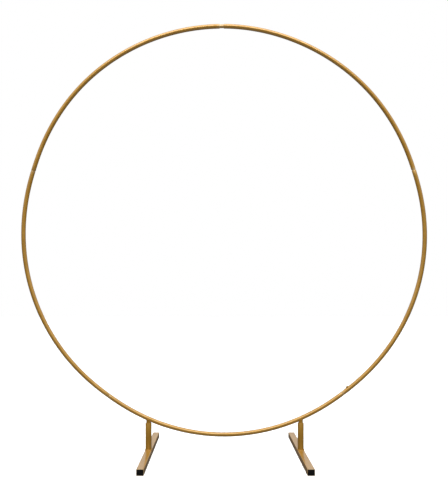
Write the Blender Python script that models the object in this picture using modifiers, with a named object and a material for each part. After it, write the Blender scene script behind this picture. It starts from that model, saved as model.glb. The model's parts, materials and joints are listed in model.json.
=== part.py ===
"""Round floor-standing frame for wreaths, flowers and balloons.

Five plug-together tube sections make an upright hoop. Two short stubs welded under the hoop drop
into the posts of two T-shaped feet. Small pan-head screws lock the hoop's joints, and others clamp
the feet from behind, through the walls of their posts.

Frame: metres, +Z up, origin on the floor under the middle of the whole frame. The hoop stands
upright along X, a little in front of the origin, and is looked at from -Y.
"""

import math

import bmesh
import bpy
from mathutils import Matrix, Vector

FIT = 0.0003                      # gap between pieces that touch

# Hoop: an ellipse that hangs a little to the left, pinched at its joints
HOOP_HALF_WIDTH = 0.7365          # to the tube's centre line
HOOP_HALF_HEIGHT = 0.7475
HOOP_CENTRE_X = -0.0014
HOOP_Y = -0.0160                  # the hoop stands in front of the middle of the foot bars
HOOP_CENTRE_HEIGHT = 0.8260
TUBE_RADIUS = 0.0080
TUBE_WALL = 0.0010
SPIGOT_RADIUS = 0.0066            # reduced end that plugs into the next section
SHOULDER_LENGTH = 0.0030          # taper from the full tube to the spigot
STATION_ANGLE = 4.0
SPIGOT_ANGLE = 4.0                # how far a spigot reaches into its socket
TUBE_BEVEL_RESOLUTION = 4         # twelve sides

# Joints of the hoop: name, angle from +X towards +Z, reduced tube left showing, side of its screw
HOOP_JOINTS = (
    ("top", 91.2, 0.0150, "rear"),
    ("upper_left", 163.0, 0.0005, "rear"),
    ("lower_left", 234.8, 0.0005, "rear"),
    ("lower_right", 306.6, 0.0005, "inner"),
    ("upper_right", 377.6, 0.0020, "rear"),
)
# Sections in the same order, each starting with its socket at the joint beside it
SECTION_NAMES = ("top_left", "left", "bottom", "right", "top_right")

# How far the centre line stands outside the ellipse at each joint and at the middle of the section
# after it: the tubes are straighter near their ends, so the joints lie further in
PINCH_START = 90.6
PINCH_STEP = 36.0
PINCH_ROUNDING = 0.1
PINCHES = (0.0015, 0.0030, -0.0055, 0.0, -0.0060, 0.0005, -0.0045, 0.0035, -0.0065, -0.0025)

# M5 pan-head screws and thin nuts
SCREW_RADIUS = 0.00245
SCREW_HOLE_RADIUS = 0.00275
SCREW_CHAMFER = 0.0006
HEAD_RADIUS = 0.00475
HEAD_HEIGHT = 0.0034
RING_SCREW_LENGTH = 0.0100
RING_SCREW_INSET = 0.0270         # from the socket's rim
FOOT_SCREW_LENGTH = 0.0060
FOOT_SCREW_DROP = 0.0050          # below the post's rim
NUT_ACROSS_FLATS = 0.0080
NUT_BORE_RADIUS = 0.0028
RING_NUT_THICKNESS = 0.0027
RING_NUT_OFFSET = 0.0002          # from the tube's centre line to the nut's inner face
SMALL_STEPS = 12

# Feet
FOOT_MIDDLE_X = 0.0016            # midway between the two posts
FOOT_SPACING = 0.5580
FOOT_PLACES = {"left": FOOT_MIDDLE_X - 0.5 * FOOT_SPACING, "right": FOOT_MIDDLE_X + 0.5 * FOOT_SPACING}
POST_RADIUS = 0.0110
POST_BORE_RADIUS = 0.0084         # thick enough a wall to be tapped for the clamp screw
POST_STEPS = 24
RIM_GAP = 0.0018                  # room for the stub's weld between the post's rim and the hoop
STUB_DEPTH = 0.0550               # length of stub inside the post
BAR_WIDTH = 0.0250
BAR_HEIGHT = 0.0220
BAR_WALL = 0.0012
BAR_CORNER = 0.0020
BAR_LENGTH = 0.5100
WELD_LEG = 0.0030
PLUG_DEPTH = 0.0140
PLUG_WALL = 0.0015
PLUG_CORNER = 0.0015
PLUG_RECESS = 0.0005

GOLD_PAINT = ("gold_paint", (0.42, 0.25, 0.09), 0.38, 0.35)
YELLOW_ZINC = ("yellow_zinc", (0.55, 0.38, 0.16), 0.35, 1.0)
BLACK_PLASTIC = ("black_plastic", (0.012, 0.012, 0.012), 0.55, 0.0)


def clear_scene():
    """Remove whatever the opened file holds."""
    for obj in list(bpy.data.objects):
        bpy.data.objects.remove(obj, do_unlink=True)


def new_collection(name):
    collection = bpy.data.collections.new(name)
    bpy.context.scene.collection.children.link(collection)
    return collection


def finish_material(spec):
    """Principled material from a name, colour, roughness and metallic value."""
    name, colour, roughness, metallic = spec
    material = bpy.data.materials.get(name)
    if material is None:
        material = bpy.data.materials.new(name)
        material.use_nodes = True
        shader = material.node_tree.nodes["Principled BSDF"]
        shader.inputs["Base Color"].default_value = (*colour, 1.0)
        shader.inputs["Roughness"].default_value = roughness
        shader.inputs["Metallic"].default_value = metallic
    return material


def add_object(name, data, collection, spec=None, placement=None, parent=None):
    """Link a new object, give it its material and place it, under a parent if it has one."""
    obj = bpy.data.objects.new(name, data)
    collection.objects.link(obj)
    obj.parent = parent
    obj.matrix_local = placement or Matrix.Identity(4)
    if spec:
        data.materials.append(finish_material(spec))
    return obj


def smooth(mesh, angle=40.0):
    mesh.shade_smooth()
    mesh.set_sharp_from_angle(angle=math.radians(angle))


# Hoop geometry

def hoop_pinch(angle):
    """How far the centre line stands outside its ellipse: a rounded dip at a joint, a dome between."""
    position = (angle - PINCH_START) % 360.0 / PINCH_STEP
    index = int(position)
    joint, middle, way = index, index + 1, position - index
    if index % 2:
        joint, middle, way = index + 1, index, 1.0 - way
    softened = math.hypot(way, PINCH_ROUNDING) - PINCH_ROUNDING
    softened /= math.hypot(1.0, PINCH_ROUNDING) - PINCH_ROUNDING
    rise = math.sin(0.5 * math.pi * softened)
    at_joint, at_middle = PINCHES[joint % len(PINCHES)], PINCHES[middle % len(PINCHES)]
    return at_joint + (at_middle - at_joint) * rise


def hoop_point(angle):
    """Point on the hoop's centre line at an angle in degrees from +X towards +Z."""
    t = math.radians(angle)
    pinch = hoop_pinch(angle)
    return Vector((
        HOOP_CENTRE_X + (HOOP_HALF_WIDTH + pinch) * math.cos(t),
        HOOP_Y,
        HOOP_CENTRE_HEIGHT + (HOOP_HALF_HEIGHT + pinch) * math.sin(t),
    ))


def hoop_tangent(angle):
    """Unit direction of the centre line, the way the angle grows."""
    return (hoop_point(angle + 0.1) - hoop_point(angle - 0.1)).normalized()


def hoop_frame(angle, distance, side="inner"):
    """Placement beside the hoop's centre line, on its inner or its rear side.

    Local X runs along the tube, and local Z points away from the tube on that side.
    """
    x_axis = hoop_tangent(angle)
    rearwards = Vector((0.0, 1.0, 0.0))
    z_axis = x_axis.cross(rearwards) if side == "inner" else rearwards
    y_axis = z_axis.cross(x_axis)
    rotation = Matrix((x_axis, y_axis, z_axis)).transposed().to_4x4()
    return Matrix.Translation(hoop_point(angle) + z_axis * distance) @ rotation


def degrees_along(length):
    """Angle that a short length of the hoop spans."""
    return math.degrees(2.0 * length / (HOOP_HALF_WIDTH + HOOP_HALF_HEIGHT))


def screw_angle(joint_angle):
    """Angle of a joint's locking screw, a short way in from the socket's rim."""
    return joint_angle + degrees_along(RING_SCREW_INSET)


def section_stations(start, end, neck):
    """Angles and radii along one section, from its socket's rim to the tip of its spigot."""
    shoulder = end - degrees_along(neck)
    full_end = shoulder - degrees_along(SHOULDER_LENGTH)
    count = int((full_end - start) / STATION_ANGLE)
    full = [start, screw_angle(start)]
    full += [start + STATION_ANGLE * i for i in range(1, count + 1)]
    full.append(full_end)
    reduced = [shoulder, end, screw_angle(end), end + SPIGOT_ANGLE]
    return [(angle, TUBE_RADIUS) for angle in full] + [(angle, SPIGOT_RADIUS) for angle in reduced]


def tube_mesh(name, stations):
    """Open tube surface along the hoop, as a mesh lying in the XY plane."""
    curve = bpy.data.curves.new(name, "CURVE")
    curve.dimensions = "2D"
    curve.fill_mode = "NONE"
    curve.bevel_depth = TUBE_RADIUS
    curve.bevel_resolution = TUBE_BEVEL_RESOLUTION
    spline = curve.splines.new("POLY")
    spline.points.add(len(stations) - 1)
    for point, (angle, radius) in zip(spline.points, stations):
        place = hoop_point(angle)
        point.co = (place.x, place.z, 0.0, 1.0)
        point.radius = radius / TUBE_RADIUS
    guide = bpy.data.objects.new(name + "_guide", curve)
    bpy.context.scene.collection.objects.link(guide)
    evaluated = guide.evaluated_get(bpy.context.evaluated_depsgraph_get())
    mesh = bpy.data.meshes.new_from_object(evaluated)
    mesh.name = name
    bpy.data.objects.remove(guide, do_unlink=True)
    return mesh


def turned(name, profile, steps, collection, spec=None, placement=None, parent=None, closed=False):
    """Revolve an (r, z) profile that runs down its outer side around local Z."""
    mesh = bpy.data.meshes.new(name)
    bm = bmesh.new()
    verts = [bm.verts.new((r, 0.0, z)) for r, z in profile]
    pairs = list(zip(verts, verts[1:]))
    if closed:
        pairs.append((verts[-1], verts[0]))
    for pair in pairs:
        bm.edges.new(pair)
    bm.to_mesh(mesh)
    bm.free()
    obj = add_object(name, mesh, collection, spec, placement, parent)
    screw = obj.modifiers.new("revolve", "SCREW")
    screw.steps = steps
    screw.render_steps = steps
    screw.use_merge_vertices = True
    screw.merge_threshold = 0.00005
    screw.use_smooth_shade = False
    return obj


def cylinder_cutter(name, radius, length, cutters, placement, parent=None):
    """Wire-drawn cylinder along local Z, centred on its placement."""
    mesh = bpy.data.meshes.new(name)
    bm = bmesh.new()
    bmesh.ops.create_cone(
        bm, cap_ends=True, segments=POST_STEPS, radius1=radius, radius2=radius, depth=length
    )
    bm.to_mesh(mesh)
    bm.free()
    obj = add_object(name, mesh, cutters, None, placement, parent)
    obj.hide_render = True
    obj.display_type = "WIRE"
    return obj


def cut(obj, cutter):
    boolean = obj.modifiers.new("cut_" + cutter.name, "BOOLEAN")
    boolean.operation = "DIFFERENCE"
    boolean.object = cutter
    boolean.solver = "EXACT"


def hollow(obj, wall):
    """Thicken an open surface inwards."""
    solidify = obj.modifiers.new("wall", "SOLIDIFY")
    solidify.thickness = wall
    solidify.offset = -1.0
    solidify.use_even_offset = True


# Pieces of the hoop

def ring_hole_cutters(cutters):
    """One radial hole through socket and spigot at each joint, on the side of its screw."""
    length = 0.011
    made = {}
    for name, angle, _, side in HOOP_JOINTS:
        placement = hoop_frame(screw_angle(angle), TUBE_RADIUS + FIT - 0.5 * length + 0.003, side)
        made[name] = cylinder_cutter("ring_hole_" + name, SCREW_HOLE_RADIUS, length, cutters, placement)
    return made


def ring_sections(parts, cutters):
    """Five hollow arcs, each with a socket at its start and a reduced spigot at its end."""
    holes = ring_hole_cutters(cutters)
    upright = Matrix.Translation((0.0, HOOP_Y, 0.0)) @ Matrix.Rotation(math.radians(90.0), 4, "X")
    for i, name in enumerate(SECTION_NAMES):
        socket_joint, start, _, _ = HOOP_JOINTS[i]
        spigot_joint, end, neck, _ = HOOP_JOINTS[(i + 1) % len(HOOP_JOINTS)]
        end += 360.0 if end < start else 0.0
        mesh = tube_mesh("ring_section_" + name, section_stations(start, end, neck))
        section = add_object("ring_section_" + name, mesh, parts, GOLD_PAINT, upright)
        smooth(mesh)
        hollow(section, TUBE_WALL)
        cut(section, holes[socket_joint])
        cut(section, holes[spigot_joint])


def pan_head_profile(length):
    """Half outline of a pan-head screw: z = 0 under the head, shank towards -Z."""
    return (
        (0.0, HEAD_HEIGHT),
        (0.62 * HEAD_RADIUS, 0.94 * HEAD_HEIGHT),
        (0.93 * HEAD_RADIUS, 0.62 * HEAD_HEIGHT),
        (HEAD_RADIUS, 0.28 * HEAD_HEIGHT),
        (HEAD_RADIUS, 0.0),
        (SCREW_RADIUS, 0.0),
        (SCREW_RADIUS, SCREW_CHAMFER - length),
        (SCREW_RADIUS - SCREW_CHAMFER, -length),
        (0.0, -length),
    )


def ring_screws(parts):
    """Locking screws with their heads against the hoop."""
    for name, angle, _, side in HOOP_JOINTS:
        placement = hoop_frame(screw_angle(angle), TUBE_RADIUS + FIT, side)
        profile = pan_head_profile(RING_SCREW_LENGTH)
        turned("ring_screw_" + name, profile, SMALL_STEPS, parts, YELLOW_ZINC, placement)


def nut_mesh(name, thickness):
    """Hexagonal nut standing on local Z = 0, with two corners on local X."""
    curve = bpy.data.curves.new(name, "CURVE")
    curve.dimensions = "2D"
    curve.fill_mode = "BOTH"
    curve.extrude = 0.5 * thickness
    corner_radius = 0.5 * NUT_ACROSS_FLATS / math.cos(math.radians(30.0))
    for sides, radius in ((6, corner_radius), (SMALL_STEPS, NUT_BORE_RADIUS)):
        spline = curve.splines.new("POLY")
        spline.points.add(sides - 1)
        spline.use_cyclic_u = True
        for i, point in enumerate(spline.points):
            turn = math.tau * i / sides
            point.co = (radius * math.cos(turn), radius * math.sin(turn), 0.0, 1.0)
    guide = bpy.data.objects.new(name + "_guide", curve)
    bpy.context.scene.collection.objects.link(guide)
    evaluated = guide.evaluated_get(bpy.context.evaluated_depsgraph_get())
    mesh = bpy.data.meshes.new_from_object(evaluated)
    mesh.name = name
    bpy.data.objects.remove(guide, do_unlink=True)
    bm = bmesh.new()
    bm.from_mesh(mesh)
    bmesh.ops.remove_doubles(bm, verts=bm.verts, dist=0.00001)
    bmesh.ops.translate(bm, verts=bm.verts, vec=(0.0, 0.0, 0.5 * thickness))
    bmesh.ops.recalc_face_normals(bm, faces=bm.faces)
    bm.to_mesh(mesh)
    bm.free()
    return mesh


def ring_nuts(parts):
    """Thin nuts fixed inside the spigots, which the locking screws run into."""
    for name, angle, _, side in HOOP_JOINTS:
        mesh = nut_mesh("ring_nut_" + name, RING_NUT_THICKNESS)
        placement = hoop_frame(screw_angle(angle), RING_NUT_OFFSET, side)
        add_object("ring_nut_" + name, mesh, parts, YELLOW_ZINC, placement)


# Pieces of the feet

def hoop_angle_at(x):
    """Angle of the lower half of the hoop where its centre line passes over x."""
    angle = -90.0
    for _ in range(20):
        angle = -math.degrees(math.acos((x - HOOP_CENTRE_X) / (HOOP_HALF_WIDTH + hoop_pinch(angle))))
    return angle


def post_rim_height():
    """Height where square-cut posts clear the sloping underside of the hoop and the stubs' welds."""
    heights = []
    for x in FOOT_PLACES.values():
        angle = hoop_angle_at(x)
        tangent = hoop_tangent(angle)
        slope = abs(tangent.z / tangent.x)
        underside = hoop_point(angle).z - TUBE_RADIUS / abs(tangent.x)
        heights.append(underside - slope * POST_RADIUS - RIM_GAP)
    return min(heights)


def stub(side, x, parts, cutters):
    """Short tube coped to the hoop's underside, which the post slides over."""
    angle = hoop_angle_at(x)
    top = hoop_point(angle).z
    bottom = post_rim_height() - STUB_DEPTH
    bore = TUBE_RADIUS - TUBE_WALL
    profile = ((TUBE_RADIUS, top), (TUBE_RADIUS, bottom), (bore, bottom), (bore, top))
    place = Matrix.Translation((x, HOOP_Y, 0.0))
    piece = turned(side + "_stub", profile, POST_STEPS, parts, GOLD_PAINT, place, closed=True)
    along_hoop = hoop_frame(angle, 0.0) @ Matrix.Rotation(math.radians(90.0), 4, "Y")
    cope = cylinder_cutter(side + "_cope", TUBE_RADIUS + 1.2 * FIT, 0.06, cutters, along_hoop)
    cut(piece, cope)


def behind_at(distance):
    """Placement on the clamp screw's axis, behind the post's axis, with local Z rearwards."""
    height = post_rim_height() - FOOT_SCREW_DROP
    return Matrix.Translation((0.0, distance, height)) @ Matrix.Rotation(math.radians(-90.0), 4, "X")


def post(side, foot, parts, cutters):
    """Upright tube of a foot, with a hole for its clamp screw near the rim."""
    rim = post_rim_height()
    base = BAR_HEIGHT + FIT
    profile = ((POST_RADIUS, rim), (POST_RADIUS, base), (POST_BORE_RADIUS, base), (POST_BORE_RADIUS, rim))
    piece = turned(side + "_post", profile, POST_STEPS, parts, GOLD_PAINT, None, foot, closed=True)
    hole = cylinder_cutter(
        side + "_post_hole", SCREW_HOLE_RADIUS, 0.006, cutters, behind_at(POST_RADIUS), foot
    )
    cut(piece, hole)


def foot_screw(side, foot, parts):
    """Clamp screw through the back of the post, with its tip against the stub."""
    profile = pan_head_profile(FOOT_SCREW_LENGTH)
    under_head = behind_at(TUBE_RADIUS + FIT + FOOT_SCREW_LENGTH)
    turned(side + "_foot_screw", profile, SMALL_STEPS, parts, YELLOW_ZINC, under_head, foot)


def rounded_box(name, size, corner, open_sides, segments=2):
    """Box with rounded edges along local Y, with the named ends (-1 or 1) of Y left open."""
    mesh = bpy.data.meshes.new(name)
    bm = bmesh.new()
    bmesh.ops.create_cube(bm, size=1.0)
    bmesh.ops.scale(bm, vec=size, verts=bm.verts)
    ends = [f for f in bm.faces if any(f.normal.y * side > 0.9 for side in open_sides)]
    bmesh.ops.delete(bm, geom=ends, context="FACES_ONLY")
    long_edges = [e for e in bm.edges if abs(e.verts[0].co.y - e.verts[1].co.y) > 0.5 * size[1]]
    bmesh.ops.bevel(
        bm, geom=long_edges, offset=corner, segments=segments, profile=0.5, affect="EDGES", material=-1
    )
    bm.to_mesh(mesh)
    bm.free()
    return mesh


def foot_bar(side, foot, parts):
    """Rectangular tube lying on the floor under the post, open at both ends."""
    mesh = rounded_box(side + "_foot_bar", (BAR_WIDTH, BAR_LENGTH, BAR_HEIGHT), BAR_CORNER, (-1, 1))
    place = Matrix.Translation((0.0, -HOOP_Y, 0.5 * BAR_HEIGHT))
    bar = add_object(side + "_foot_bar", mesh, parts, GOLD_PAINT, place, foot)
    hollow(bar, BAR_WALL)


def end_plugs(side, foot, parts):
    """Hollow plugs pressed into the bar's ends."""
    width, height = (outer - 2.0 * (BAR_WALL + FIT) for outer in (BAR_WIDTH, BAR_HEIGHT))
    for end, sign in (("front", -1), ("rear", 1)):
        name = f"{side}_{end}_plug"
        mesh = rounded_box(name, (width, PLUG_DEPTH, height), PLUG_CORNER, (-sign,))
        middle = -HOOP_Y + sign * (0.5 * (BAR_LENGTH - PLUG_DEPTH) - PLUG_RECESS)
        place = Matrix.Translation((0.0, middle, 0.5 * BAR_HEIGHT))
        plug = add_object(name, mesh, parts, BLACK_PLASTIC, place, foot)
        hollow(plug, PLUG_WALL)


def post_weld(side, foot, parts):
    """Fillet of weld round the foot of the post."""
    inner = POST_RADIUS + FIT
    base = BAR_HEIGHT + FIT
    mid = 0.62 * WELD_LEG
    profile = ((inner, base + WELD_LEG), (inner + mid, base + mid), (inner + WELD_LEG, base), (inner, base))
    turned(side + "_post_weld", profile, POST_STEPS, parts, GOLD_PAINT, None, foot, closed=True)


def feet(parts, cutters):
    """Two equal feet, each under its own empty on the axis along which it slides off."""
    for side, x in FOOT_PLACES.items():
        foot = add_object(side + "_foot_axis", None, parts, None, Matrix.Translation((x, HOOP_Y, 0.0)))
        stub(side, x, parts, cutters)
        post(side, foot, parts, cutters)
        post_weld(side, foot, parts)
        foot_bar(side, foot, parts)
        end_plugs(side, foot, parts)
        foot_screw(side, foot, parts)


def main():
    clear_scene()
    parts = new_collection("wreath_frame")
    cutters = new_collection("cutters")
    ring_sections(parts, cutters)
    ring_screws(parts)
    ring_nuts(parts)
    feet(parts, cutters)


main()
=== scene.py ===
"""Looks of the round wreath frame: a gold-painted tube hoop on two T-shaped feet.

Each class below makes one sub-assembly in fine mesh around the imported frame, dresses it in its
finishes and puts its pieces on the bodies that carry them.
"""

from __future__ import annotations

import json
import logging
import math
from dataclasses import dataclass, field
from enum import Enum
from typing import Any, Callable, Sequence

import bmesh
import bpy
from bmesh.types import BMEdge, BMesh, BMFace, BMVert
from bpy.types import ID, Material, Node, NodeSocket, NodeTree, Object
from mathutils import Matrix, Vector

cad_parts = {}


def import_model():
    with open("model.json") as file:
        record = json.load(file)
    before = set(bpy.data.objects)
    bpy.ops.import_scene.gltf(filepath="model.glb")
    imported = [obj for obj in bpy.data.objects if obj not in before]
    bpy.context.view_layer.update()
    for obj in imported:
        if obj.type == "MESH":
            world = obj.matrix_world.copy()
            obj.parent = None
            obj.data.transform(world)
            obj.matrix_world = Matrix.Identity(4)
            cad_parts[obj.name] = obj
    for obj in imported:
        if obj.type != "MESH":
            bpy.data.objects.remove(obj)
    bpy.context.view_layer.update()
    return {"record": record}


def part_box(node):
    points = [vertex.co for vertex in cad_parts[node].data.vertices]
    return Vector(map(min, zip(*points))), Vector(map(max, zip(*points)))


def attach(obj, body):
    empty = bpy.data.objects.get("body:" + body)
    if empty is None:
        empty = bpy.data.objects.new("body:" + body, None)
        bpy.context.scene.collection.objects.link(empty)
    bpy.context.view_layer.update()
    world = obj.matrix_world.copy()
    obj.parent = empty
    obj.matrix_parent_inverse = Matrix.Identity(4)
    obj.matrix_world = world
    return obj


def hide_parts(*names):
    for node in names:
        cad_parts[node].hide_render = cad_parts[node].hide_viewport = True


LOG = logging.getLogger("wreath_frame")
MM = 0.001


class Side(Enum):
    """The two feet, as seen from the front."""

    LEFT = "left"
    RIGHT = "right"


class Slot(Enum):
    """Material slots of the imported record."""

    GOLD = "gold_paint"
    ZINC = "yellow_zinc"
    PLASTIC = "black_plastic"


# Finishes


def linear(hex_colour: str) -> tuple[float, float, float, float]:
    """Turn an sRGB hex colour into linear RGBA.

    Args:
        hex_colour: Six hex digits after a #.

    Returns:
        Linear red, green, blue and an alpha of 1.
    """
    values = [int(hex_colour[start:start + 2], 16) / 255.0 for start in (1, 3, 5)]
    red, green, blue = (v / 12.92 if v <= 0.04045 else ((v + 0.055) / 1.055) ** 2.4 for v in values)
    return (red, green, blue, 1.0)


def add_node(tree: NodeTree, kind: str, inputs: dict[Any, Any] | None = None, **settings: Any) -> Node:
    """Add a node with its settings and its inputs.

    Args:
        tree: Node tree that gets the node.
        kind: Blender's name of the node type.
        inputs: Value or output socket for each input, by name or index.
        **settings: Properties of the node itself.

    Returns:
        The new node.
    """
    node = tree.nodes.new(kind)
    for name, value in settings.items():
        setattr(node, name, value)
    for key, value in (inputs or {}).items():
        if isinstance(value, NodeSocket):
            tree.links.new(value, node.inputs[key])
        else:
            node.inputs[key].default_value = value
    return node


def per_metre(size_mm: float) -> float:
    """Texture scale whose features are about size_mm apart on Object coordinates."""
    return 1.0 / (size_mm * MM)


@dataclass(frozen=True)
class Grain:
    """Noise of a surface: size of its features, layers of finer noise and how strong they are."""

    size_mm: float
    detail: float = 2.0
    roughness: float = 0.5


@dataclass(frozen=True)
class Finish:
    """What all finishes share: a name, uniform shader values, noises and the way a material starts."""

    name: str = "finish"
    uniform: tuple[tuple[str, float], ...] = ()
    grains: tuple[Grain, ...] = ()

    def start(self) -> tuple[Material, Node, NodeSocket, list[NodeSocket]]:
        """Make a node material with its uniform values and its noises.

        Returns:
            The material, its Principled shader, its Object coordinates and the noise of each grain.
        """
        material = bpy.data.materials.new(self.name)
        material.use_nodes = True
        tree = material.node_tree
        shader = tree.nodes["Principled BSDF"]
        for socket, value in self.uniform:
            shader.inputs[socket].default_value = value
        coordinates = add_node(tree, "ShaderNodeTexCoord").outputs["Object"]
        noises = [
            add_node(
                tree, "ShaderNodeTexNoise",
                {"Vector": coordinates, "Scale": per_metre(grain.size_mm), "Detail": grain.detail,
                 "Roughness": grain.roughness},
            ).outputs["Fac"]
            for grain in self.grains
        ]
        return material, shader, coordinates, noises

    def material(self) -> Material:
        """Return this finish's material, made once."""
        return bpy.data.materials.get(self.name) or self.build()

    def build(self) -> Material:
        """Make the node material."""
        raise NotImplementedError


@dataclass(frozen=True)
class GoldSprayPaint(Finish):
    """Gold metallic enamel sprayed on steel tube, under its own clear gloss.

    It gives the eye a warm tan gold whose sheen is broken by fine orange peel and small flakes with
    a painted glint (lighter gold spots in the base colour), slow changes of depth where the coat is
    thicker, white glare at low angles, and pale scuffs where tubes have been pushed together or cut.
    """

    name: str = "gold_metallic_enamel_sprayed"
    uniform: tuple[tuple[str, float], ...] = (
        ("Metallic", 0.35), ("Specular IOR Level", 0.35), ("Coat Weight", 1.0), ("Coat Roughness", 0.08),
    )
    grains: tuple[Grain, ...] = (
        Grain(60.0, 4.0, 0.55), Grain(1.6, 5.0, 0.6), Grain(9.0, 4.0), Grain(1.8),
    )                             # clouds in the coat, scratches, patches of dullness and orange peel
    deep: str = "#B28228"
    # painted glint: lighter gold spots in the base colour on the flakes, standing in for their sparkle
    body: str = "#C19138"
    flake_glint: str = "#D8AF62"
    scuff: str = "#E3CFA6"
    flake_mm: float = 0.8         # real flake is under 0.1 mm, drawn coarser so that it shows
    glint: float = 0.3
    roughness: float = 0.38

    def build(self) -> Material:
        """Make the paint.

        Returns:
            The node material.
        """
        material, shader, coordinates, (clouds, scratches, patches, peel) = self.start()
        tree = material.node_tree
        cells = add_node(
            tree, "ShaderNodeTexVoronoi", {"Vector": coordinates, "Scale": per_metre(self.flake_mm)}
        ).outputs["Distance"]
        depth, glint, breaks, dullness = (
            add_node(
                tree, "ShaderNodeMapRange",
                {"Value": value, "From Min": low, "From Max": high, "To Min": first, "To Max": last},
            ).outputs["Result"]
            for value, low, high, first, last in (
                (clouds, 0.3, 0.7, 0.0, 1.0),
                # painted glint on the flakes: lighter base colour near the middle of each cell
                (cells, 0.0, 0.4, self.glint, 0.0),
                (scratches, 0.35, 0.62, 0.2, 1.0),
                (patches, 0.3, 0.7, self.roughness - 0.04, self.roughness + 0.06),
            )
        )
        wear = add_node(tree, "ShaderNodeAttribute", attribute_name="wear").outputs["Fac"]
        rubbed = add_node(tree, "ShaderNodeMath", {0: wear, 1: breaks}, operation="MULTIPLY").outputs[0]
        colour = linear(self.deep)
        for amount, tone in ((depth, self.body), (glint, self.flake_glint), (rubbed, self.scuff)):
            mixed = add_node(
                tree, "ShaderNodeMix", {0: amount, 6: colour, 7: linear(tone)}, data_type="RGBA"
            )
            colour = mixed.outputs[2]
        bump = add_node(tree, "ShaderNodeBump", {"Height": peel, "Strength": 0.2, "Distance": 0.1 * MM})
        for source, socket in ((colour, "Base Color"), (dullness, "Roughness"), (bump.outputs[0], "Normal")):
            tree.links.new(source, shader.inputs[socket])
        return material


@dataclass(frozen=True)
class TwoTone(Finish):
    """Finish that drifts between two tones and may break up its dullness and relief.

    The first grain drifts the tone and the last one breaks up the dullness and relief.
    """

    tones: tuple[str, str] = ("#000000", "#FFFFFF")
    spread: tuple[float, float] = (0.0, 1.0)
    dullness: tuple[float, float] | None = None
    relief: float = 0.0
    relief_mm: float = 0.0

    def build(self) -> Material:
        """Make the material.

        Returns:
            The node material.
        """
        material, shader, _, noises = self.start()
        tree = material.node_tree
        limits = {"From Min": self.spread[0], "From Max": self.spread[1]}
        amount = add_node(tree, "ShaderNodeMapRange", {"Value": noises[0], **limits}).outputs["Result"]
        first, second = (linear(tone) for tone in self.tones)
        tone = add_node(tree, "ShaderNodeMix", {0: amount, 6: first, 7: second}, data_type="RGBA")
        tree.links.new(tone.outputs[2], shader.inputs["Base Color"])
        if self.dullness:
            limits = {"To Min": self.dullness[0], "To Max": self.dullness[1]}
            dullness = add_node(tree, "ShaderNodeMapRange", {"Value": noises[-1], **limits})
            tree.links.new(dullness.outputs["Result"], shader.inputs["Roughness"])
        if self.relief:
            height = {"Height": noises[-1], "Strength": self.relief, "Distance": self.relief_mm * MM}
            bump = add_node(tree, "ShaderNodeBump", height)
            tree.links.new(bump.outputs["Normal"], shader.inputs["Normal"])
        return material


@dataclass(frozen=True)
class MillSteelBore(TwoTone):
    """Unpainted inside of a cold-rolled steel tube: dull grey with brown stains."""

    name: str = "mild_steel_tube_bore_unpainted"
    uniform: tuple[tuple[str, float], ...] = (("Metallic", 0.8),)
    tones: tuple[str, str] = ("#6E655A", "#5A4330")
    grains: tuple[Grain, ...] = (Grain(8.0, 5.0, 0.6),)
    spread: tuple[float, float] = (0.35, 0.65)
    dullness: tuple[float, float] | None = (0.5, 0.8)


@dataclass(frozen=True)
class YellowZincPlate(TwoTone):
    """Yellow-passivated zinc plate on a steel fastener: bright straw gold drifting to olive."""

    name: str = "zinc_plate_yellow_passivated"
    uniform: tuple[tuple[str, float], ...] = (("Metallic", 1.0),)
    tones: tuple[str, str] = ("#C79F58", "#A89356")
    grains: tuple[Grain, ...] = (Grain(2.4), Grain(0.5, 3.0))
    spread: tuple[float, float] = (0.35, 0.65)
    dullness: tuple[float, float] | None = (0.26, 0.44)
    relief: float = 0.15
    relief_mm: float = 0.04


@dataclass(frozen=True)
class MouldedPolyethylene(TwoTone):
    """Black polyethylene, injection moulded: near black and matt, with a fine spark-eroded grain."""

    name: str = "polyethylene_black_moulded"
    uniform: tuple[tuple[str, float], ...] = (("IOR", 1.51), ("Specular IOR Level", 0.2))
    tones: tuple[str, str] = ("#050404", "#0D0B0A")
    grains: tuple[Grain, ...] = (Grain(6.0, 3.0), Grain(0.7))
    dullness: tuple[float, float] | None = (0.5, 0.64)
    relief: float = 0.3
    relief_mm: float = 0.05


@dataclass(frozen=True)
class PaleFloorPaint(TwoTone):
    """Matt white floor paint of a plain studio, a trace warmer in places."""

    name: str = "floor_paint_matt_white"
    uniform: tuple[tuple[str, float], ...] = (("Roughness", 0.9), ("Specular IOR Level", 0.1))
    tones: tuple[str, str] = ("#FBFBFB", "#F8F8F6")
    grains: tuple[Grain, ...] = (Grain(400.0),)


LINED_TUBE = (GoldSprayPaint(), MillSteelBore())


# Mesh tools


@dataclass(frozen=True)
class Station:
    """One ring of a swept piece: where it lies, how wide it is, and what the wall after it shows."""

    place: Matrix
    radius: float
    wear: float = 0.0
    lining: bool = False


def ring_matrix(station: Station) -> Matrix:
    """Placement of a unit circle that lies in the YZ plane of a station."""
    stand_up = Matrix.Rotation(math.radians(90.0), 4, "Y")
    return station.place @ stand_up @ Matrix.Diagonal((station.radius, station.radius, 1.0, 1.0))


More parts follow.
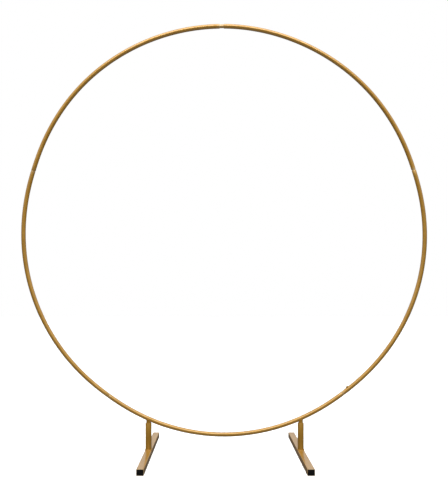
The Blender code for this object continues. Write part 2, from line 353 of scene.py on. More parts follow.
def sweep(stations: Sequence[Station], sides: int) -> BMesh:
    """Extrude a ring from station to station and back to the first.

    Args:
        stations: The rings in order; each lies across its placement's local X.
        sides: Number of sides of the ring.

    Returns:
        A new bmesh with a float layer named wear and inner walls in material slot 1.
    """
    bm = bmesh.new()
    wear = bm.verts.layers.float.new("wear")
    first = bmesh.ops.create_circle(bm, segments=sides, radius=1.0, matrix=ring_matrix(stations[0]))["verts"]
    for vert in first:
        vert[wear] = stations[0].wear
    edges = start_edges = list(bm.edges)
    for before, after in zip(stations, stations[1:]):
        made = bmesh.ops.extrude_edge_only(bm, edges=edges)["geom"]
        verts = [g for g in made if isinstance(g, BMVert)]
        for face in (g for g in made if isinstance(g, BMFace)):
            face.material_index = 1 if before.lining and after.lining else 0
        new_edges = {e for v in verts for e in v.link_edges if all(w in verts for w in e.verts)}
        edges = [e for e in made if isinstance(e, BMEdge) and e in new_edges]
        change = ring_matrix(after) @ ring_matrix(before).inverted()
        bmesh.ops.transform(bm, matrix=change, verts=verts)
        for vert in verts:
            vert[wear] = after.wear
    bmesh.ops.bridge_loops(bm, edges=start_edges + edges)
    return bm


def spin_profile(
    profile: Sequence[tuple[float, float]], steps: int, place: Matrix, closed: bool = False
) -> BMesh:
    """Spin an (r, z) profile once around local Z.

    Args:
        profile: Radius and height of each point in order.
        steps: Steps in the full turn.
        place: Where the turned piece goes.
        closed: Join the profile's last point to its first.

    Returns:
        A new closed bmesh in its place.
    """
    bm = bmesh.new()
    verts = [bm.verts.new((r, 0.0, z)) for r, z in profile]
    after = verts[1:] + verts[:1] if closed else verts[1:]
    edges = [bm.edges.new(pair) for pair in zip(verts, after)]
    bmesh.ops.spin(
        bm, geom=verts + edges, cent=(0.0, 0.0, 0.0), axis=(0.0, 0.0, 1.0),
        angle=math.tau, steps=steps, use_merge=True, use_duplicate=False,
    )
    bmesh.ops.remove_doubles(bm, verts=bm.verts, dist=0.002 * MM)
    bmesh.ops.recalc_face_normals(bm, faces=bm.faces)
    bmesh.ops.transform(bm, matrix=place, verts=bm.verts)
    return bm


def box_mesh(size: Sequence[float], place: Matrix) -> BMesh:
    """Make a plain box of a size at a place."""
    bm = bmesh.new()
    bmesh.ops.create_cube(bm, size=1.0)
    bmesh.ops.scale(bm, vec=size, verts=bm.verts)
    bmesh.ops.transform(bm, matrix=place, verts=bm.verts)
    return bm


def rod_mesh(radius: float, depth: float, place: Matrix, segments: int = 32) -> BMesh:
    """Make a closed rod along the local Z of a place, which is its middle."""
    bm = bmesh.new()
    bmesh.ops.create_cone(
        bm, cap_ends=True, segments=segments, radius1=radius, radius2=radius, depth=depth, matrix=place,
    )
    return bm


def evaluated_mesh(obj: Object) -> BMesh:
    """Copy an object's mesh with its modifiers applied."""
    evaluated = obj.evaluated_get(bpy.context.evaluated_depsgraph_get())
    result = bmesh.new()
    result.from_mesh(evaluated.to_mesh())
    evaluated.to_mesh_clear()
    return result


def add_object(name: str, data: ID) -> Object:
    """Put a new object with this data in the scene."""
    obj = bpy.data.objects.new(name, data)
    bpy.context.scene.collection.objects.link(obj)
    return obj


def mesh_object(name: str, bm: BMesh) -> Object:
    """Put a bmesh on a new object and free it."""
    mesh = bpy.data.meshes.new(name)
    bm.to_mesh(mesh)
    bm.free()
    return add_object(name, mesh)


def discard(obj: Object) -> None:
    """Remove a passing object and its mesh."""
    mesh = obj.data
    bpy.data.objects.remove(obj, do_unlink=True)
    bpy.data.meshes.remove(mesh)


def boolean(
    bm: BMesh, tools: Sequence[BMesh], operation: str = "DIFFERENCE"
) -> BMesh:
    """Cut a bmesh with others and free them all.

    Args:
        bm: The solid that is cut.
        tools: Closed solids that cut it, one after another.
        operation: DIFFERENCE or INTERSECT.

    Returns:
        The result as a new bmesh.
    """
    objects = [mesh_object("workpiece", source) for source in (bm, *tools)]
    for tool in objects[1:]:
        modifier = objects[0].modifiers.new("cut", "BOOLEAN")
        modifier.operation = operation
        modifier.solver = "EXACT"
        modifier.object = tool
    result = evaluated_mesh(objects[0])
    for obj in objects:
        discard(obj)
    return result


@dataclass
class Workshop:
    """Turns bmeshes into finished, dressed pieces on their bodies."""

    sharp_angle: float = 38.0
    made: list[str] = field(default_factory=list)

    def finish(
        self, name: str, bm: BMesh, finishes: Sequence[Finish], slot: Slot,
        body: str, replaced: Sequence[str] = (),
    ) -> Object:
        """Make a piece from a bmesh, dress it and put it on its body.

        Args:
            name: Name of the piece.
            bm: The mesh in its place; it is freed.
            finishes: Finish of each material index.
            slot: Material slot of the record; not used.
            body: Body that carries the piece.
            replaced: Frame nodes that the piece stands for.

        Returns:
            The finished object.
        """
        bmesh.ops.recalc_face_normals(bm, faces=bm.faces)
        piece = mesh_object(name, bm)
        mesh = piece.data
        mesh.shade_smooth()
        mesh.set_sharp_from_angle(angle=math.radians(self.sharp_angle))
        for finish in finishes:
            mesh.materials.append(finish.material())
        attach(piece, body)
        if replaced:
            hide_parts(*replaced)
        self.made.append(name)
        LOG.info("%s: %d faces on %s", name, len(mesh.polygons), body)
        return piece


# The hoop


WallRow = tuple[float, float, float, bool]      # angle, radius, wear and lining of a station


class ScrewSide(Enum):
    """Side of the hoop's tube that a joint's screw stands on."""

    INNER = "inner"
    REAR = "rear"


@dataclass(frozen=True)
class HoopJoint:
    """A plug joint of the hoop.

    Its angle runs in degrees from +X towards +Z; neck is the reduced tube left showing.
    """

    name: str
    angle: float
    neck: float
    screw_side: ScrewSide


@dataclass(frozen=True)
class HoopShape:
    """Centre line of the hoop: an ellipse pinched at its joints, where the tubes are straighter.

    The pinches are how far the centre line stands outside the ellipse, at each joint and at the
    middle of the section after it.
    """

    place: Vector
    tube_radius: float
    half_width: float = 736.5 * MM
    half_height: float = 747.5 * MM
    pinch_start: float = 90.6
    pinch_step: float = 36.0
    pinch_rounding: float = 0.1
    screw_inset: float = 27.0 * MM
    settling_steps: int = 20
    pinches_mm: tuple[float, ...] = (1.5, 3.0, -5.5, 0.0, -6.0, 0.5, -4.5, 3.5, -6.5, -2.5)

    @classmethod
    def from_frame(cls, record: dict[str, Any], top: HoopJoint, lift: float) -> "HoopShape":
        """Place the hoop where the frame has the screw of its top joint.

        Args:
            record: Record of the frame.
            top: The top joint.
            lift: Distance from the tube's surface to the screw's turning point.

        Returns:
            The hoop's shape.
        """
        low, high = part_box("ring_section_" + top.name + "_left")
        shape = cls(Vector((0.0, 0.0, 0.0)), 0.5 * (high[1] - low[1]))
        joints = {joint["name"]: joint for joint in record["behaviour"]["joints"]}
        known = Vector(joints["ring_screw_" + top.name + "_turn"]["pos_m"])
        return cls(known - shape.seat(top, shape.tube_radius + lift).translation, shape.tube_radius)

    def pinch(self, angle: float) -> float:
        """How far the centre line stands outside the ellipse.

        Args:
            angle: Angle in degrees from +X towards +Z.

        Returns:
            A distance that dips at the joints and domes between them.
        """
        position = (angle - self.pinch_start) % 360.0 / self.pinch_step
        index = int(position)
        joint, middle, way = index, index + 1, position - index
        if index % 2:
            joint, middle, way = index + 1, index, 1.0 - way
        rounding = self.pinch_rounding
        softened = (math.hypot(way, rounding) - rounding) / (math.hypot(1.0, rounding) - rounding)
        count = len(self.pinches_mm)
        at_joint, at_middle = self.pinches_mm[joint % count], self.pinches_mm[middle % count]
        return MM * (at_joint + (at_middle - at_joint) * math.sin(0.5 * math.pi * softened))

    def point(self, angle: float) -> Vector:
        """Point of the centre line at an angle in degrees from +X towards +Z."""
        turn, pinch = math.radians(angle), self.pinch(angle)
        across = (self.half_width + pinch) * math.cos(turn)
        up = (self.half_height + pinch) * math.sin(turn)
        return self.place + Vector((across, 0.0, up))

    def along(self, angle: float) -> Vector:
        """Direction of the centre line, the way the angle grows."""
        return (self.point(angle + 0.1) - self.point(angle - 0.1)).normalized()

    def frame(self, angle: float, distance: float = 0.0, side: ScrewSide = ScrewSide.INNER) -> Matrix:
        """Placement with local X along the tube and local Z away from it, on one of its sides.

        Args:
            angle: Angle in degrees from +X towards +Z.
            distance: Distance from the centre line, along local Z.
            side: The side that local Z points to.

        Returns:
            The placement.
        """
        along, rearwards = self.along(angle), Vector((0.0, 1.0, 0.0))
        out = rearwards if side is ScrewSide.REAR else along.cross(rearwards)
        turn = Matrix((along, out.cross(along), out)).transposed().to_4x4()
        return Matrix.Translation(self.point(angle) + out * distance) @ turn

    def seat(self, joint: HoopJoint, distance: float) -> Matrix:
        """Placement on the axis of a joint's screw, this far from the centre line, with local Z outwards."""
        return self.frame(joint.angle + self.degrees(self.screw_inset), distance, joint.screw_side)

    def degrees(self, length: float) -> float:
        """Angle that a short length of the centre line spans."""
        return math.degrees(2.0 * length / (self.half_width + self.half_height))

    def angle_at(self, x: float) -> float:
        """Angle where the centre line's lower half passes over a place.

        Args:
            x: The place along X.

        Returns:
            The angle, settled by repeated steps.
        """
        angle = -90.0
        for _ in range(self.settling_steps):
            angle = -math.degrees(math.acos((x - self.place.x) / (self.half_width + self.pinch(angle))))
        return angle

    def underside(self, x: float, y: float) -> float:
        """Height of the tube's underside.

        Args:
            x: The place along X.
            y: The place along Y, counted from the hoop's plane.

        Returns:
            The height.
        """
        angle = self.angle_at(x)
        reach = math.sqrt(max(self.tube_radius ** 2 - y ** 2, 0.0))
        return self.point(angle).z - reach / abs(self.along(angle).x)


@dataclass
class Hoop:
    """Five plug-together sections with their locking screws and nuts.

    The joints run round from the top, towards the left as seen from the front.
    """

    shop: Workshop
    shape: HoopShape
    joints: tuple[HoopJoint, ...] = (
        HoopJoint("top", 91.2, 15.0 * MM, ScrewSide.REAR),
        HoopJoint("upper_left", 163.0, 0.5 * MM, ScrewSide.REAR),
        HoopJoint("lower_left", 234.8, 0.5 * MM, ScrewSide.REAR),
        HoopJoint("lower_right", 306.6, 0.5 * MM, ScrewSide.INNER),
        HoopJoint("upper_right", 377.6, 2.0 * MM, ScrewSide.REAR),
    )
    sections: tuple[str, ...] = ("top_left", "left", "bottom", "right", "top_right")
    wall: float = 1.0 * MM
    spigot_radius: float = 6.6 * MM
    shoulder: float = 1.6 * MM
    spigot_angle: float = 4.0
    sides: int = 40
    outer_step: float = 0.9
    inner_step: float = 4.0
    rim_round: float = 0.3 * MM
    screw_hole: float = 2.75 * MM
    hole_depth: float = 10.0 * MM
    body: str = "ring"

    def rim(self, angle: float, outer: float, inner: float, facing: int) -> list[WallRow]:
        """Rounded rim between the outer and the inner wall.

        Args:
            angle: Angle of the tube's end.
            outer: Outer radius of the wall.
            inner: Inner radius of the wall.
            facing: 1 where the end faces growing angles, -1 where it faces falling ones.

        Returns:
            Rows from the outer wall to the inner wall.
        """
        back, edge = facing * self.shape.degrees(self.rim_round), self.rim_round
        return [
            (angle - back, outer, 1.0, False), (angle - 0.175 * back, outer - 0.1 * edge, 1.0, False),
            (angle, outer - edge, 1.0, False), (angle, inner + edge, 0.6, False),
            (angle - back, inner, 0.3, True),
        ]

    def walls(self, start: float, end: float, neck: float) -> list[Station]:
        """Closed run of stations: outer wall, spigot, its rim, inner wall and the socket's rim.

        Args:
            start: Angle of the socket's rim.
            end: Angle of the next joint's socket rim, which the spigot passes through.
            neck: Length of reduced tube left showing.

        Returns:
            The stations in order.
        """
        degrees, full, thin = self.shape.degrees, self.shape.tube_radius, self.spigot_radius
        shoulder = end - degrees(neck)
        swell = shoulder - degrees(self.shoulder)
        drop = full - thin
        count = int((swell - 1.0 - start) / self.outer_step)
        outer = [(start + degrees(2.0 * MM), full, 0.35)]
        outer += [(start + self.outer_step * i, full, 0.0) for i in range(1, count + 1)]
        outer += [
            (swell, full, 0.15), (0.75 * swell + 0.25 * shoulder, full - 0.15 * drop, 0.3),
            (0.25 * swell + 0.75 * shoulder, full - 0.85 * drop, 0.3), (shoulder, thin, 0.3),
            (0.5 * (shoulder + end), thin, 0.35),
        ]
        outer += [(end + step, thin, 0.6) for step in (0.0, 1.0, 2.0, 3.0)]
        steps = int((swell - start - 1.0) / self.inner_step)
        lining = [(end + step, thin) for step in (3.0, 2.0, 1.0, 0.0)] + [(shoulder, thin), (swell, full)]
        lining += [(start + self.inner_step * i, full) for i in range(steps, 0, -1)] + [(start + 1.0, full)]
        rows = [(*row, False) for row in outer]
        rows += self.rim(end + self.spigot_angle, thin, thin - self.wall, 1)
        rows += [(angle, radius - self.wall, 0.0, True) for angle, radius in lining]
        rows += reversed(self.rim(start, full, full - self.wall, -1))
        return [Station(self.shape.frame(angle), *rest) for angle, *rest in rows]

    def build_sections(self) -> None:
        """Make the five tubes with their screw holes."""
        for index, name in enumerate(self.sections):
            socket, plug = self.joints[index], self.joints[(index + 1) % len(self.joints)]
            end = plug.angle if plug.angle > socket.angle else plug.angle + 360.0
            bm = sweep(self.walls(socket.angle, end, plug.neck), self.sides)
            bmesh.ops.recalc_face_normals(bm, faces=bm.faces)
            seats = [self.shape.seat(joint, self.shape.tube_radius) for joint in (socket, plug)]
            bm = boolean(bm, [rod_mesh(self.screw_hole, self.hole_depth, seat) for seat in seats])
            self.shop.finish(
                "hoop_tube_" + name, bm, LINED_TUBE, Slot.GOLD, self.body, ("ring_section_" + name,)
            )

    def build_fasteners(self, hardware: "Hardware") -> None:
        """Put a screw and a nut at each joint.

        Args:
            hardware: Maker of the screws and nuts.
        """
        for index, joint in enumerate(self.joints):
            seat = self.shape.seat(joint, self.shape.tube_radius + hardware.fit)
            turn = 37.0 * index + 12.0
            self.shop.finish(
                "hoop_screw_" + joint.name, hardware.screw(hardware.ring_screw_length, seat, turn),
                (YellowZincPlate(),), Slot.ZINC, "ring_screw_" + joint.name, ("ring_screw_" + joint.name,),
            )
            place = self.shape.seat(joint, hardware.ring_nut_offset)
            self.shop.finish(
                "hoop_nut_" + joint.name, hardware.nut(hardware.ring_nut_thickness, place),
                (YellowZincPlate(),), Slot.ZINC, self.body, ("ring_nut_" + joint.name,),
            )


# Screws and nuts


@dataclass(frozen=True)
class Hardware:
    """M5 pan-head cross-recess screws and thin hexagon nuts."""

    fit: float = 0.3 * MM
    shank_radius: float = 2.45 * MM
    root_radius: float = 2.08 * MM
    pitch: float = 0.8 * MM
    head_radius: float = 4.75 * MM
    head_height: float = 3.4 * MM
    recess_width: float = 1.15 * MM
    recess_span: float = 5.2 * MM
    recess_depth: float = 2.2 * MM
    recess_taper: float = 0.42
    ring_screw_length: float = 10.0 * MM
    clamp_screw_length: float = 6.0 * MM
    across_flats: float = 8.0 * MM
    nut_face: float = 0.475
    bore_radius: float = 2.8 * MM
    ring_nut_thickness: float = 2.7 * MM
    ring_nut_offset: float = 0.2 * MM
    steps: int = 32

    def profile(self, length: float) -> list[tuple[float, float]]:
        """Half outline of a screw, from the top of its head to its tip.

        Args:
            length: Length under the head.

        Returns:
            Radius and height of each point; the head's underside is at height 0.
        """
        radius, height, shank, root = self.head_radius, self.head_height, self.shank_radius, self.root_radius
        dome = [(radius * math.sin(a), 0.3 * height + 0.7 * height * math.cos(a))
                for a in (math.radians(10.0 * i) for i in range(10))]
        points = dome + [(radius, 0.12 * height), (radius - 0.15 * MM, 0.0), (shank, 0.0)]
        for i in range(int((length - 0.6 * MM) / self.pitch)):
            for reach, turn in ((shank, 0.3), (root, 0.65), (shank, 1.0)):
                points.append((reach, -self.pitch * i - turn * self.pitch))
        return points + [(root, 0.2 * MM - length), (root - 0.3 * MM, -length), (0.0, -length)]

    def screw(self, length: float, seat: Matrix, turn: float) -> BMesh:
        """Make a screw with its cross recess.

        Args:
            length: Length under the head.
            seat: Placement of the head's underside, with local Z out of the head.
            turn: Turn of the recess about the screw, in degrees.

        Returns:
            The closed screw in its place.
        """
        body = spin_profile(self.profile(length), self.steps, Matrix.Identity(4))
        tools = []
        for quarter in (0.0, 90.0):
            place = Matrix.Rotation(math.radians(turn + quarter), 4, "Z")
            place = place @ Matrix.Translation((0.0, 0.0, self.head_height))
            tool = box_mesh((self.recess_span, self.recess_width, 2.0 * self.recess_depth), place)
            bottom = [v for v in tool.verts if v.co.z < self.head_height]
            bmesh.ops.scale(tool, vec=(self.recess_taper, self.recess_taper, 1.0), verts=bottom)
            tools.append(tool)
        bm = boolean(body, tools)
        bmesh.ops.transform(bm, matrix=seat, verts=bm.verts)
        return bm

    def nut(self, thickness: float, place: Matrix) -> BMesh:
        """Make a chamfered hexagon nut.

        Args:
            thickness: Height of the nut.
            place: Placement of its lower face, with two corners on local X.

        Returns:
            The closed nut in its place.
        """
        corner = 0.5 * self.across_flats / math.cos(math.radians(30.0))
        middle = Matrix.Translation((0.0, 0.0, 0.5 * thickness))
        hexagon = rod_mesh(corner, thickness, middle, segments=6)
        face = self.nut_face * self.across_flats
        reach, drop = 1.02 * corner, 0.64 * (corner - face)
        outline = ((0.0, thickness), (face, thickness), (reach, thickness - drop), (reach, drop), (face, 0.0))
        barrel = spin_profile((*outline, (0.0, 0.0)), 48, Matrix.Identity(4))
        rod = rod_mesh(self.bore_radius, 3.0 * thickness, middle, segments=self.steps)
        bm = boolean(boolean(hexagon, [barrel], "INTERSECT"), [rod])
        bmesh.ops.transform(bm, matrix=place, verts=bm.verts)
        return bm


# The feet


def bead(path: Callable[[float], Vector], radius: float, ripples: int, steps: int = 144) -> BMesh:
    """Make a closed weld bead along a path.

    Args:
        path: Point of the bead's middle for an angle in radians.
        radius: Mean radius of the bead.
        ripples: Number of ripples in a full turn.
        steps: Steps along the path.

    Returns:
        The closed bead.
    """
    stations = []
    for i in range(steps):
        turn = math.tau * i / steps
        along = (path(turn + 0.01) - path(turn - 0.01)).normalized()
        side = along.cross(Vector((0.0, 0.0, 1.0))).normalized()
        rotation = Matrix((along, side, along.cross(side))).transposed().to_4x4()
        wave = 0.11 * math.sin(ripples * turn)
        wave += 0.07 * math.sin(3.0 * turn + 0.8) + 0.05 * math.sin(5.0 * turn)
        stations.append(Station(Matrix.Translation(path(turn)) @ rotation, radius * (1.0 + wave)))
    return sweep(stations, 12)


@dataclass
class Foot:
    """One T-shaped foot and the stub that it hangs on."""

    shop: Workshop
    shape: HoopShape
    hardware: Hardware
    side: Side
    post_bore: float = 8.4 * MM
    stub_wall: float = 1.0 * MM
    bar_wall: float = 1.2 * MM
    bar_corner: float = 2.0 * MM
    bar_rim: float = 0.22 * MM
    bar_scuff: float = 2.5 * MM
    rim_round: float = 0.35 * MM
    bead_radius: float = 2.0 * MM
    stub_bead_radius: float = 1.05 * MM
    screw_drop: float = 5.0 * MM
    clamp_hole_depth: float = 6.0 * MM
    steps: int = 56

    def __post_init__(self) -> None:
        """Read the foot's places from the frame."""
        side = self.side.value
        self.post_low, self.post_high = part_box(side + "_post")
        self.bar_low, self.bar_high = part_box(side + "_foot_bar")
        self.stub_low, self.stub_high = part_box(side + "_stub")
        self.x = 0.5 * (self.post_low[0] + self.post_high[0])
        self.y = 0.5 * (self.stub_low[1] + self.stub_high[1])
        self.post_radius = 0.5 * (self.post_high[0] - self.post_low[0])
        self.stub_radius = 0.5 * (self.stub_high[0] - self.stub_low[0])
        self.rim_height = self.post_high[2]
        self.body = side + "_foot"

    def node(self, name: str) -> str:
        """Full name of a frame node of this foot."""
        return f"{self.side.value}_{name}"

    def behind(self, distance: float) -> Matrix:
        """Placement on the clamp screw's axis behind the post's axis, with local Z rearwards."""
        place = Matrix.Translation((self.x, self.y + distance, self.rim_height - self.screw_drop))
        return place @ Matrix.Rotation(math.radians(-90.0), 4, "X")

    def spun_tube(self, profile: Sequence[tuple[float, float]]) -> BMesh:
        """Spin a closed (r, z) profile round the post's axis."""
        return spin_profile(profile, self.steps, Matrix.Translation((self.x, self.y, 0.0)), closed=True)

    def line_bore(self, bm: BMesh, inner: float) -> None:
        """Put the faces of a spun tube's bore in material slot 1."""
        for face in bm.faces:
            centre = face.calc_center_median()
            reach = math.hypot(centre.x - self.x, centre.y - self.y)
            face.material_index = 1 if reach < inner + 0.1 * MM else 0

    def build_post(self) -> None:
        """Make the upright tube with rounded rims and the hole for its clamp screw."""
        top, base, edge = self.rim_height, self.post_low[2], self.rim_round
        outer, inner = self.post_radius, self.post_bore
        middle = 0.5 * (base + top)
        bm = self.spun_tube([
            (outer, base), (outer, middle), (outer, top - edge), (outer - 0.3 * edge, top - 0.3 * edge),
            (outer - edge, top), (inner + 0.4 * edge, top), (inner, top - 0.4 * edge), (inner, middle),
            (inner, base),
        ])
        self.line_bore(bm, inner)
        radius = self.hardware.shank_radius + self.hardware.fit
        rod = rod_mesh(radius, self.clamp_hole_depth, self.behind(self.post_radius))
        self.shop.finish(
            self.node("post_tube"), boolean(bm, [rod]), LINED_TUBE, Slot.GOLD, self.body, (self.node("post"),)
        )

    def build_post_bead(self) -> None:
        """Run a weld round the foot of the post."""
        radius = self.post_radius + 0.25 * self.bead_radius
        height = self.bar_high[2] + 0.25 * self.bead_radius

        def path(turn: float) -> Vector:
            """Middle of the bead."""
            return Vector((self.x + radius * math.cos(turn), self.y + radius * math.sin(turn), height))

        self.shop.finish(
            self.node("post_bead"), bead(path, self.bead_radius, 26), (GoldSprayPaint(),), Slot.GOLD,
            self.body, (self.node("post_weld"),),
        )

    def build_stub(self) -> None:
        """Make the stub that drops into the post, coped to the hoop, and its weld."""
        outer, edge = self.stub_radius, self.rim_round
        inner, bottom, top = outer - self.stub_wall, self.stub_low[2], self.stub_high[2]
        middle = 0.5 * (bottom + self.rim_height)
        bm = self.spun_tube([
            (outer, top), (outer, middle), (outer, bottom + edge), (outer - 0.3 * edge, bottom + 0.3 * edge),
            (outer - edge, bottom), (inner + 0.3 * edge, bottom), (inner, bottom + 0.3 * edge),
            (inner, middle), (inner, top),
        ])
        for vert in bm.verts:
            if vert.co.z > top - 0.1 * MM:
                vert.co.z = self.shape.underside(vert.co.x, vert.co.y - self.y) - 0.05 * MM
        self.line_bore(bm, inner)
        self.shop.finish(self.node("stub_tube"), bm, LINED_TUBE, Slot.GOLD, "ring", (self.node("stub"),))
        radius = outer + 0.2 * self.stub_bead_radius

        def path(turn: float) -> Vector:
            """Middle of the bead, under the hoop."""
            x, y = self.x + radius * math.cos(turn), radius * math.sin(turn)
            return Vector((x, self.y + y, self.shape.underside(x, 0.93 * y)))

        self.shop.finish(
            self.node("stub_bead"), bead(path, self.stub_bead_radius, 18), (GoldSprayPaint(),),
            Slot.GOLD, "ring",
        )

    def build_bar(self) -> None:
        """Make the rectangular foot tube with rolled corners and slightly dulled cut ends."""
        size = [high - low for low, high in zip(self.bar_low, self.bar_high)]
        middle = [0.5 * (low + high) for low, high in zip(self.bar_low, self.bar_high)]
        bm = box_mesh(size, Matrix.Translation(middle))
        ends = [f for f in bm.faces if abs(f.normal.y) > 0.9]
        bmesh.ops.delete(bm, geom=ends, context="FACES_ONLY")
        long_edges = [e for e in bm.edges if abs(e.verts[0].co.y - e.verts[1].co.y) > 0.5 * size[1]]
        bmesh.ops.bevel(
            bm, geom=long_edges, offset=self.bar_corner, segments=6, profile=0.5, affect="EDGES", material=-1,
        )
        bm = self.with_wall(bm, self.bar_wall, self.bar_rim)
        for y in (self.bar_low[1] + self.bar_scuff, self.bar_high[1] - self.bar_scuff):
            bmesh.ops.bisect_plane(
                bm, geom=[*bm.verts, *bm.edges, *bm.faces], dist=0.01 * MM,
                plane_co=(0.0, y, 0.0), plane_no=(0.0, 1.0, 0.0),
            )
        wear = bm.verts.layers.float.new("wear")
        for vert in bm.verts:
            to_end = min(abs(vert.co.y - self.bar_low[1]), abs(vert.co.y - self.bar_high[1]))
            vert[wear] = 0.8 if to_end < 2.0 * self.bar_rim else 0.0
        self.shop.finish(
            self.node("bar_tube"), bm, LINED_TUBE, Slot.GOLD, self.body, (self.node("foot_bar"),)
        )

    def with_wall(self, bm: BMesh, wall: float, rim: float) -> BMesh:
        """Give an open tube its wall and dull its cut edges.

        Args:
            bm: Open surface; it is freed.
            wall: Thickness, taken inwards.
            rim: Width of the rounding on the cut edges.

        Returns:
            The closed tube, with its inner wall in material slot 1.
        """
        obj = mesh_object("workpiece", bm)
        for finish in LINED_TUBE:
            obj.data.materials.append(finish.material())
        solid = obj.modifiers.new("wall", "SOLIDIFY")
        solid.thickness = wall
        solid.offset = -1.0
        solid.use_even_offset = True
        solid.material_offset = 1
        edge = obj.modifiers.new("rim", "BEVEL")
        edge.width = rim
        edge.segments = 2
        edge.limit_method = "ANGLE"
        edge.angle_limit = math.radians(60.0)
        result = evaluated_mesh(obj)
        discard(obj)
        return result

    def build_plugs(self) -> None:
        """Make the ribbed insert plugs in the bar's ends."""
        for end, sign in (("front", -1.0), ("rear", 1.0)):
            low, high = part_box(self.node(end + "_plug"))
            face = low[1] if sign < 0.0 else high[1]
            plug = EndPlug(high[0] - low[0], high[2] - low[2], high[1] - low[1])
            outwards = Matrix.Rotation(math.radians(-90.0 * sign), 4, "X")
            place = Matrix.Translation((0.5 * (low[0] + high[0]), face, 0.5 * (low[2] + high[2]))) @ outwards
            self.shop.finish(
                self.node(end + "_cap"), plug.mesh(place), (MouldedPolyethylene(),), Slot.PLASTIC,
                self.body, (self.node(end + "_plug"),),
            )

    def build_clamp(self) -> None:
        """Put the clamp screw through the back of the post."""
        tool = self.hardware
        seat = self.behind(self.stub_radius + tool.fit + tool.clamp_screw_length)
        turn = 20.0 if self.side is Side.LEFT else 65.0
        self.shop.finish(
            self.node("clamp_screw"), tool.screw(tool.clamp_screw_length, seat, turn), (YellowZincPlate(),),
            Slot.ZINC, self.node("foot_screw"), (self.node("foot_screw"),),
        )

    def build(self) -> None:
        """Make every piece of the foot."""
        self.build_stub()
        self.build_post()
        self.build_post_bead()
        self.build_bar()
        self.build_plugs()
        self.build_clamp()


@dataclass(frozen=True)
class EndPlug:
    """Insert plug of a rectangular tube: a chamfered face, a hollow body and three grip ribs."""

    width: float
    height: float
    depth: float
    wall: float = 1.5 * MM
    corner: float = 1.5 * MM
    chamfer: float = 0.45 * MM
    rib_height: float = 0.6 * MM
    rib_length: float = 1.2 * MM
    ribs: int = 3

    def outline(self) -> list[tuple[float, float]]:
        """Depth below the face and inset from the full size of each ring, round from the inner floor.

        Returns:
            Pairs of depth and inset.
        """
        body = self.rib_height
        bore = body + self.wall
        rings = [(self.wall + 0.5 * MM, bore + 0.5 * MM), (self.wall + 1.0 * MM, bore), (self.depth, bore)]
        rings += [(self.depth, body + 0.25 * MM), (self.depth - 0.6 * MM, body)]
        pitch = (self.depth - 4.0 * MM) / self.ribs
        for i in range(self.ribs, 0, -1):
            middle, half = 2.0 * MM + pitch * (i - 0.3), 0.5 * self.rib_length
            rings += [(middle + half, body), (middle, 0.0), (middle - half, body)]
        rings += [(1.9 * MM, body), (1.9 * MM, 0.0), (self.chamfer, 0.0)]
        rings += [(0.12 * MM, 0.6 * self.chamfer), (0.0, 1.2 * self.chamfer)]
        return rings

    def mesh(self, place: Matrix) -> BMesh:
        """Loft the plug through its rings.

        Args:
            place: Middle of the face, with local Z out of the tube's end and local Y upright.

        Returns:
            The closed plug in its place.
        """
        rings = self.outline()
        depth, inset = rings[0]
        bm = bmesh.new()
        bmesh.ops.create_grid(bm, x_segments=1, y_segments=1, size=0.5)
        spans = [self.width - 2.0 * inset, self.height - 2.0 * inset]
        bmesh.ops.scale(bm, vec=(*spans, 1.0), verts=bm.verts)
        bmesh.ops.translate(bm, vec=(0.0, 0.0, -depth), verts=bm.verts)
        bmesh.ops.bevel(
            bm, geom=list(bm.verts), offset=self.corner, segments=4, profile=0.5, affect="VERTICES",
            material=-1,
        )
        edges = list(bm.edges)
        for depth, inset in rings[1:]:
            made = bmesh.ops.extrude_edge_only(bm, edges=edges)["geom"]
            verts = [g for g in made if isinstance(g, BMVert)]
            new_edges = [g for g in made if isinstance(g, BMEdge)]
            edges = [e for e in new_edges if all(v in verts for v in e.verts)]
            sizes = [self.width - 2.0 * inset, self.height - 2.0 * inset]
            ratio = (sizes[0] / spans[0], sizes[1] / spans[1], 1.0)
            bmesh.ops.scale(bm, vec=ratio, verts=verts)
            bmesh.ops.translate(bm, vec=(0.0, 0.0, -depth - verts[0].co.z), verts=verts)
            spans = sizes
        bmesh.ops.holes_fill(bm, edges=edges)
        bmesh.ops.transform(bm, matrix=place, verts=bm.verts)
        return bm


# Studio


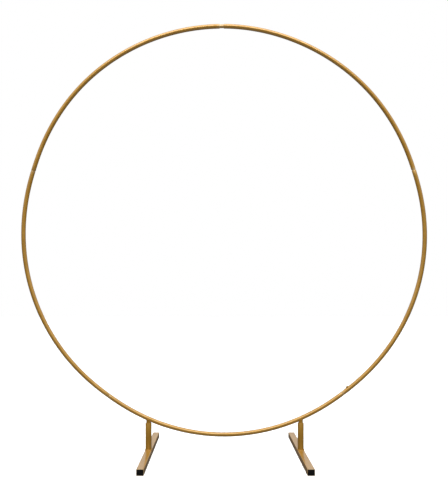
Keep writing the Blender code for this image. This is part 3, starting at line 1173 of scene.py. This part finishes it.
@dataclass(frozen=True)
class Studio:
    """Plain pale floor, soft light from all round and above, and a level camera in front."""

    floor_size: float = 30.0
    floor_drop: float = 65.0 * MM
    camera_place: tuple[float, float, float] = (-0.0263, -2.145, 0.5895)
    lens: float = 41.8
    sensor: float = 36.0
    shift: tuple[float, float] = (0.014, 0.09)
    sky: float = 0.8
    horizon: float = 0.08
    ground: float = 0.32
    overhead_power: float = 92.0
    overhead_size: tuple[float, float] = (3.0, 2.4)
    overhead_place: tuple[float, float, float] = (0.0, -1.9, 3.4)
    overhead_tilt: float = 36.0
    floor_wash: float = 1.6

    def build_floor(self) -> None:
        """Lay the floor and wash it white; it lies low enough to show a foot pulled off its stub."""
        bm = bmesh.new()
        bmesh.ops.create_grid(bm, x_segments=4, y_segments=4, size=0.5 * self.floor_size)
        bmesh.ops.translate(bm, vec=(0.0, 0.0, -self.floor_drop), verts=bm.verts)
        floor = mesh_object("studio_floor", bm)
        floor.data.materials.append(PaleFloorPaint().material())
        floor.visible_diffuse = False
        floor.visible_glossy = False
        floor.visible_shadow = False
        washed = bpy.data.collections.new("washed_by_floor_light")
        washed.objects.link(floor)
        wash = bpy.data.lights.new("floor_wash", "SUN")
        wash.energy = self.floor_wash
        wash.use_shadow = False
        add_object("floor_wash", wash).light_linking.receiver_collection = washed

    def build_world(self) -> None:
        """Surround the object with soft light, bright above, dim at the horizon, on a white ground."""
        world = bpy.data.worlds.new("studio_world")
        world.use_nodes = True
        tree = world.node_tree
        tree.nodes.clear()
        around = add_node(tree, "ShaderNodeTexCoord").outputs["Generated"]
        height = add_node(tree, "ShaderNodeSeparateXYZ", {"Vector": around}).outputs["Z"]
        above, below = (
            add_node(
                tree, "ShaderNodeMapRange",
                {"Value": height, "From Min": near, "From Max": far, "To Min": self.horizon, "To Max": level},
                interpolation_type="SMOOTHSTEP",
            ).outputs["Result"]
            for near, far, level in ((0.0, 0.35, self.sky), (-0.3, -0.8, self.ground))
        )
        level = add_node(tree, "ShaderNodeMath", {0: above, 1: below}, operation="MAXIMUM")
        light, white = (
            add_node(tree, "ShaderNodeBackground", {"Color": (1.0, 1.0, 1.0, 1.0), "Strength": strength})
            for strength in (level.outputs[0], 1.0)
        )
        seen = add_node(tree, "ShaderNodeLightPath").outputs["Is Camera Ray"]
        mixed = add_node(tree, "ShaderNodeMixShader", {0: seen, 1: light.outputs[0], 2: white.outputs[0]})
        add_node(tree, "ShaderNodeOutputWorld", {"Surface": mixed.outputs[0]})
        bpy.context.scene.world = world

    def build_lights(self) -> None:
        """Hang one large soft box above and in front, turned towards the object."""
        light = bpy.data.lights.new("overhead_softbox", "AREA")
        light.shape = "RECTANGLE"
        light.size, light.size_y = self.overhead_size
        light.energy = self.overhead_power
        lamp = add_object("overhead_softbox", light)
        lamp.location = self.overhead_place
        lamp.rotation_euler = (math.radians(self.overhead_tilt), 0.0, 0.0)

    def build_camera(self) -> None:
        """Set the level camera in front of the hoop."""
        data = bpy.data.cameras.new("front_camera")
        data.lens = self.lens
        data.sensor_width = self.sensor
        data.shift_x, data.shift_y = self.shift
        data.clip_end = 100.0
        camera = add_object("front_camera", data)
        camera.location = self.camera_place
        camera.rotation_euler = (math.radians(90.0), 0.0, 0.0)
        bpy.context.scene.camera = camera

    def build(self) -> None:
        """Make the whole studio."""
        self.build_floor()
        self.build_world()
        self.build_lights()
        self.build_camera()
        bpy.context.scene.view_settings.view_transform = "Standard"


def main() -> None:
    """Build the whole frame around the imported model."""
    logging.basicConfig(level=logging.INFO, format="%(name)s: %(message)s")
    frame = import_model()
    Studio().build()
    shop = Workshop()
    hardware = Hardware()
    shape = HoopShape.from_frame(frame["record"], Hoop.joints[0], hardware.fit)
    hoop = Hoop(shop, shape)
    hoop.build_sections()
    hoop.build_fasteners(hardware)
    for side in Side:
        Foot(shop, shape, hardware, side).build()
    LOG.info("%d pieces made", len(shop.made))


if __name__ == "__main__":
    main()
